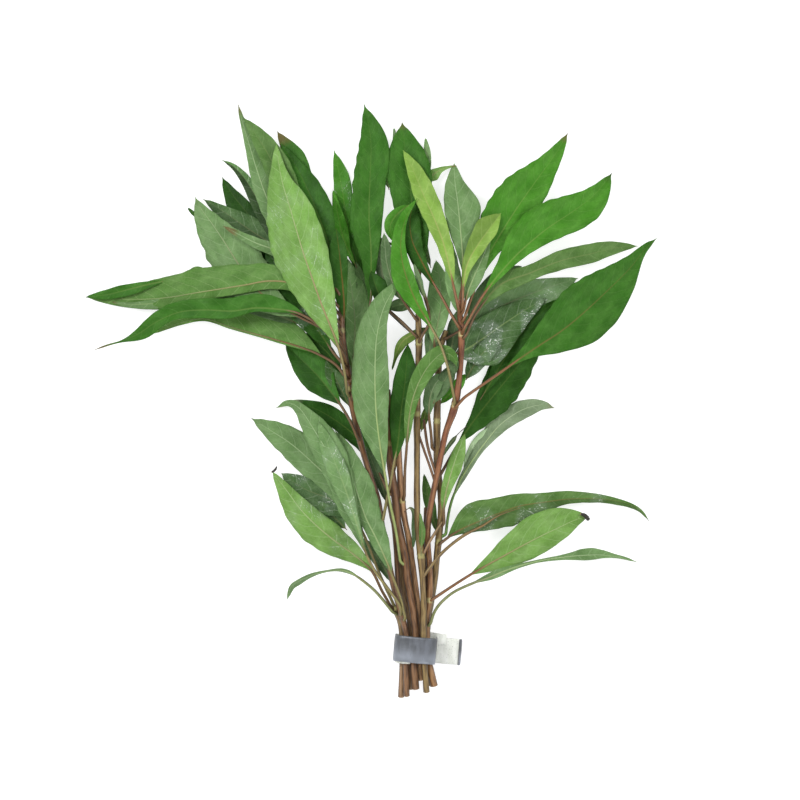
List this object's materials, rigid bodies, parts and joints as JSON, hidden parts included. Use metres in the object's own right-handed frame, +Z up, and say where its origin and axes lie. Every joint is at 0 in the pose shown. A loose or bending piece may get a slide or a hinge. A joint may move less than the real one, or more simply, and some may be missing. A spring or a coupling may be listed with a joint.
{
  "type": "bunch of hygrophila stems",
  "caption": "Bunch of cut leafy water plant stems held near the cut ends by a wrapped soft metal strip, lying flat as decor or planting stock.",
  "frame": {"origin": "middle of the metal strip's flat underside, on the table", "axes": "+Z up from the table, +Y from the cut ends towards the leaf tips, +X to the strip's loose tail"},
  "size_m": [0.229, 0.237, 0.0247],
  "materials": {
    "leaf_left_1": "satin",
    "leaf_left_10": "satin",
    "leaf_left_11": "satin",
    "leaf_left_12": "satin",
    "leaf_left_13": "satin",
    "leaf_left_14": "satin",
    "leaf_left_15": "satin",
    "leaf_left_16": "satin",
    "leaf_left_17": "satin",
    "leaf_left_18": "satin",
    "leaf_left_19": "satin",
    "leaf_left_2": "satin",
    "leaf_left_20": "satin",
    "leaf_left_21": "satin",
    "leaf_left_22": "satin",
    "leaf_left_3": "satin",
    "leaf_left_4": "satin",
    "leaf_left_5": "satin",
    "leaf_left_6": "satin",
    "leaf_left_7": "satin",
    "leaf_left_8": "satin",
    "leaf_left_9": "satin",
    "leaf_middle_1": "satin",
    "leaf_middle_2": "satin",
    "leaf_middle_3": "satin",
    "leaf_middle_4": "satin",
    "leaf_middle_5": "satin",
    "leaf_right_1": "satin",
    "leaf_right_10": "satin",
    "leaf_right_11": "satin",
    "leaf_right_12": "satin",
    "leaf_right_13": "satin",
    "leaf_right_14": "satin",
    "leaf_right_2": "satin",
    "leaf_right_3": "satin",
    "leaf_right_4": "satin",
    "leaf_right_5": "satin",
    "leaf_right_6": "satin",
    "leaf_right_7": "satin",
    "leaf_right_8": "satin",
    "leaf_right_9": "satin",
    "leaf_top_1": "satin",
    "leaf_top_10": "satin",
    "leaf_top_2": "satin",
    "leaf_top_3": "satin",
    "leaf_top_4": "satin",
    "leaf_top_5": "satin",
    "leaf_top_6": "satin",
    "leaf_top_7": "satin",
    "leaf_top_8": "satin",
    "leaf_top_9": "satin",
    "metal_strip": "matte",
    "stem_1": "satin",
    "stem_2": "satin",
    "stem_3": "satin",
    "stem_4": "satin",
    "stem_5": "satin",
    "stem_6": "satin",
    "stem_7": "satin",
    "stem_8": "satin"
  },
  "bodies": {
    "root": {"leaf_left_1": "leaf_left_1", "leaf_left_10": "leaf_left_10", "leaf_left_11": "leaf_left_11", "leaf_left_12": "leaf_left_12", "leaf_left_13": "leaf_left_13", "leaf_left_14": "leaf_left_14", "leaf_left_15": "leaf_left_15", "leaf_left_16": "leaf_left_16", "leaf_left_17": "leaf_left_17", "leaf_left_18": "leaf_left_18", "leaf_left_19": "leaf_left_19", "leaf_left_2": "leaf_left_2", "leaf_left_20": "leaf_left_20", "leaf_left_21": "leaf_left_21", "leaf_left_22": "leaf_left_22", "leaf_left_3": "leaf_left_3", "leaf_left_4": "leaf_left_4", "leaf_left_5": "leaf_left_5", "leaf_left_6": "leaf_left_6", "leaf_left_7": "leaf_left_7", "leaf_left_8": "leaf_left_8", "leaf_left_9": "leaf_left_9", "leaf_middle_1": "leaf_middle_1", "leaf_middle_2": "leaf_middle_2", "leaf_middle_3": "leaf_middle_3", "leaf_middle_4": "leaf_middle_4", "leaf_middle_5": "leaf_middle_5", "leaf_right_1": "leaf_right_1", "leaf_right_10": "leaf_right_10", "leaf_right_11": "leaf_right_11", "leaf_right_12": "leaf_right_12", "leaf_right_13": "leaf_right_13", "leaf_right_14": "leaf_right_14", "leaf_right_2": "leaf_right_2", "leaf_right_3": "leaf_right_3", "leaf_right_4": "leaf_right_4", "leaf_right_5": "leaf_right_5", "leaf_right_6": "leaf_right_6", "leaf_right_7": "leaf_right_7", "leaf_right_8": "leaf_right_8", "leaf_right_9": "leaf_right_9", "leaf_top_1": "leaf_top_1", "leaf_top_10": "leaf_top_10", "leaf_top_2": "leaf_top_2", "leaf_top_3": "leaf_top_3", "leaf_top_4": "leaf_top_4", "leaf_top_5": "leaf_top_5", "leaf_top_6": "leaf_top_6", "leaf_top_7": "leaf_top_7", "leaf_top_8": "leaf_top_8", "leaf_top_9": "leaf_top_9", "metal_strip": "metal_strip", "stem_1": "stem_1", "stem_2": "stem_2", "stem_3": "stem_3", "stem_4": "stem_4", "stem_5": "stem_5", "stem_6": "stem_6", "stem_7": "stem_7", "stem_8": "stem_8"}
  },
  "joints": []
}
